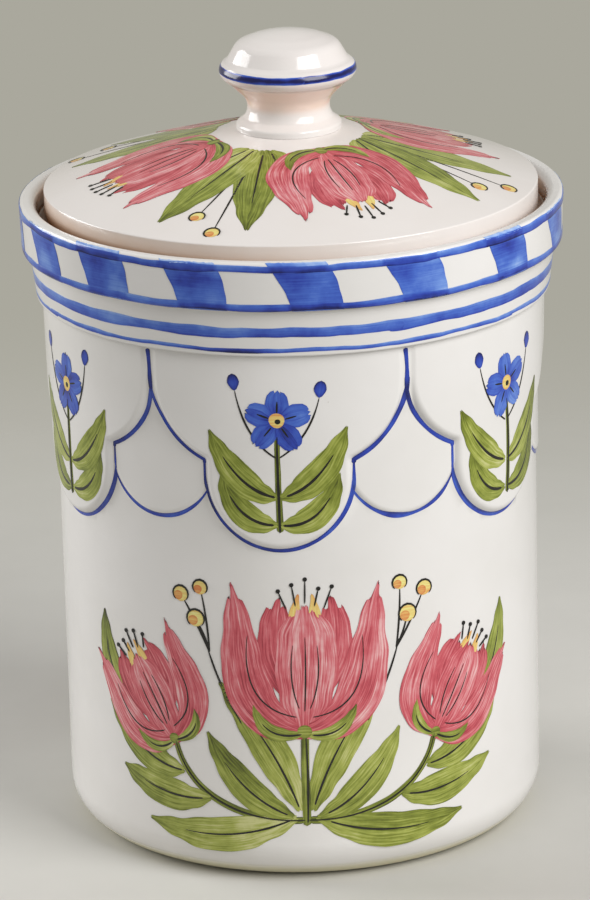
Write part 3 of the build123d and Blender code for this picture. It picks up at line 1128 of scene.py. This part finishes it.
spray = new_paints()
for centre in (0, 180):
    place = on_body(centre)
    for side in (-1, 1):
        stem = mirrored(side, (0.6, 22), (22, 21), (40, 30), (43, 46))
        brush(spray.leaves, place, bow(*stem), [1.2, 1.3, 1.1, 1.0], 0, 0.55)
        fine_line(place, spray, stem, 0.26)
        for base, bend, tip, half, layer in (
            ((2, 25), (9, 48), (27, 68), 6.0, 2),
            ((3, 23), (26, 12), (54, 18), 6.0, 1),
            ((4, 23), (21, 29), (31, 51), 5.2, 3),
            ((31, 28), (46, 24), (66, 33), 5.6, 2),
            ((40, 36), (55, 36), (71, 53), 5.6, 3),
            ((61, 54), (73, 64), (73, 84), 4.6, 2),
        ):
            leaf(place, spray, *mirrored(side, base, bend, tip), half, layer)
        tulip(place, spray, (side * 44, 47), side * 30, 34, 32)
        fine_line(place, spray, mirrored(side, (20, 54), (28, 68), (31, 80)), 0.34, 2.5)
        for spot, radius in (((34, 88), 3.0), ((40, 95), 2.7), ((32, 98), 2.5)):
            middle = shift((side * spot[0], spot[1]), 0.6)
            berry(place, spray, middle, radius, (side * 30, 77))
    stem = bow((0, 20), (hand.uniform(-2, 2), 38), (0, 54))
    brush(spray.leaves, place, stem, [1.4, 1.3, 1.2], 5, 0.55)
    fine_line(place, spray, ((0.3, 21), (0.8, 38), (0.3, 50)), 0.3)
    tulip(place, spray, (0, 53), hand.uniform(-3, 3), 46, 42)
spray_names = "spray_tulips", "spray_leaves", "spray_fine_lines", "spray_berries"
paint_pieces(spray, rose, spray_names)

# On the lid the same tulips stand in a ring round the knob, heads towards the edge, with fans of
# leaves and berries between them, brushed with the same pigments.


def on_lid(x, y):
    radius = max(math.hypot(x, y), 0.01)
    at, out = on_crown(radius)
    return Vector((x, y, at.y)), Vector((x / radius * out.x, y / radius * out.x, out.y))


def ring_spot(angle, radius):
    return (radius * math.sin(math.radians(angle)), -radius * math.cos(math.radians(angle)))


wreath = new_paints()
for k in range(4):
    facing = 22 + 90 * k
    tulip(on_lid, wreath, ring_spot(facing, 27), 180 - facing, 37, 37)
    between = facing + 45
    for swing, reach, half in ((-27, 62, 6.8), (-12, 71, 7.6), (12, 71, 7.6), (27, 62, 6.8)):
        root = ring_spot(between + swing * 0.3, 24)
        bend = ring_spot(between + swing * 0.6, 0.55 * reach)
        tip = ring_spot(between + swing, reach)
        leaf(on_lid, wreath, root, bend, tip, half, 1 + (abs(swing) < 20))
    for swing, reach in ((-3.5, 66), (3, 73)):
        spot = shift(ring_spot(between + swing, reach), 0.6)
        berry(on_lid, wreath, spot, 2.5, ring_spot(between, 30))
lid_names = "lid_tulips", "lid_leaves", "lid_fine_lines", "lid_berries"
paint_pieces(wreath, rose, lid_names, "lid")

# Floor, light and camera: a pale paper sweep, a broad soft light from the right, and one as broad
# from the left and behind.
floor_reach = 3.0
floor_corners = [(x * floor_reach, y * floor_reach, 0) for x, y in ((-1, -1), (1, -1), (1, 1), (-1, 1))]
floor_mesh = bpy.data.meshes.new("floor")
floor_mesh.from_pydata(floor_corners, [], [(0, 1, 2, 3)])
floor = add_object("floor", floor_mesh)
# Uncoated paper: flat and matt, with a faint cloud of fibres, fading into the backdrop farther out.
paper = bpy.data.materials.new("pale_paper_sweep")
tree = empty_tree(paper)
place = add_node(tree, "ShaderNodeTexCoord", output=3)
fibres = add_node(tree, "ShaderNodeTexNoise", place, 1 / (60 * mm), 4.0, 0.6)
tone = add_node(tree, "ShaderNodeValToRGB", fibres, stops=[(0.3, "#C6C4BE"), (0.7, "#CBC9C3")])
sheet = add_node(tree, "ShaderNodeBsdfPrincipled", Base_Color=tone, Roughness=0.85)
reach = add_node(tree, "ShaderNodeVectorMath", place, operation="LENGTH")
fade = add_node(tree, "ShaderNodeMapRange", reach, 0.14, 0.62, interpolation_type="SMOOTHSTEP")
clear = add_node(tree, "ShaderNodeBsdfTransparent")
sweep = add_node(tree, "ShaderNodeMixShader", fade, sheet, clear)
add_node(tree, "ShaderNodeOutputMaterial", sweep)
floor_mesh.materials.append(paper)

world = bpy.data.worlds.new("studio")
tree = empty_tree(world)
rays = add_node(tree, "ShaderNodeLightPath").node.outputs
seen = rays["Is Camera Ray"]
for kind in ("Is Glossy Ray", "Is Transmission Ray"):
    seen = add_node(tree, "ShaderNodeMath", seen, rays[kind], operation="MAXIMUM")
air = add_node(tree, "ShaderNodeMix", seen, "#969695", "#AAA89D", data_type="RGBA")
add_node(tree, "ShaderNodeOutputWorld", add_node(tree, "ShaderNodeBackground", air))
bpy.context.scene.world = world

for name, azimuth, elevation, distance, size, power in (
    ("key_softbox", 49, 34.5, 1.3, 0.85, 16.0),
    ("rear_softbox", -112, 18, 1.3, 0.85, 13.6),
):
    lamp = bpy.data.lights.new(name, "AREA")
    lamp.size = size
    lamp.energy = power
    light = add_object(name, lamp)
    rise = math.radians(elevation)
    aim = outward(azimuth) * math.cos(rise) + Vector((0, 0, math.sin(rise)))
    light.location = aim * distance + Vector((0, 0, 0.13))
    light.rotation_mode = "QUATERNION"
    light.rotation_quaternion = (-aim).to_track_quat("-Z", "Y")
    light.visible_camera = False

look_at = Vector((-0.83, 0, 120.07)) * mm
camera_distance = 1.6973
camera_elevation = math.radians(17.72)
camera_roll = math.radians(-1.49)
tilt = Matrix.Rotation(math.pi / 2 - camera_elevation, 4, "X") @ Matrix.Rotation(camera_roll, 4, "Z")
camera_data = bpy.data.cameras.new("camera")
camera_data.lens = 209.47
camera_data.sensor_width = 36
camera = add_object("camera", camera_data)
camera.matrix_world = Matrix.Translation(look_at + tilt.col[2].xyz * camera_distance) @ tilt
bpy.context.scene.camera = camera
bpy.context.scene.view_settings.view_transform = "Standard"
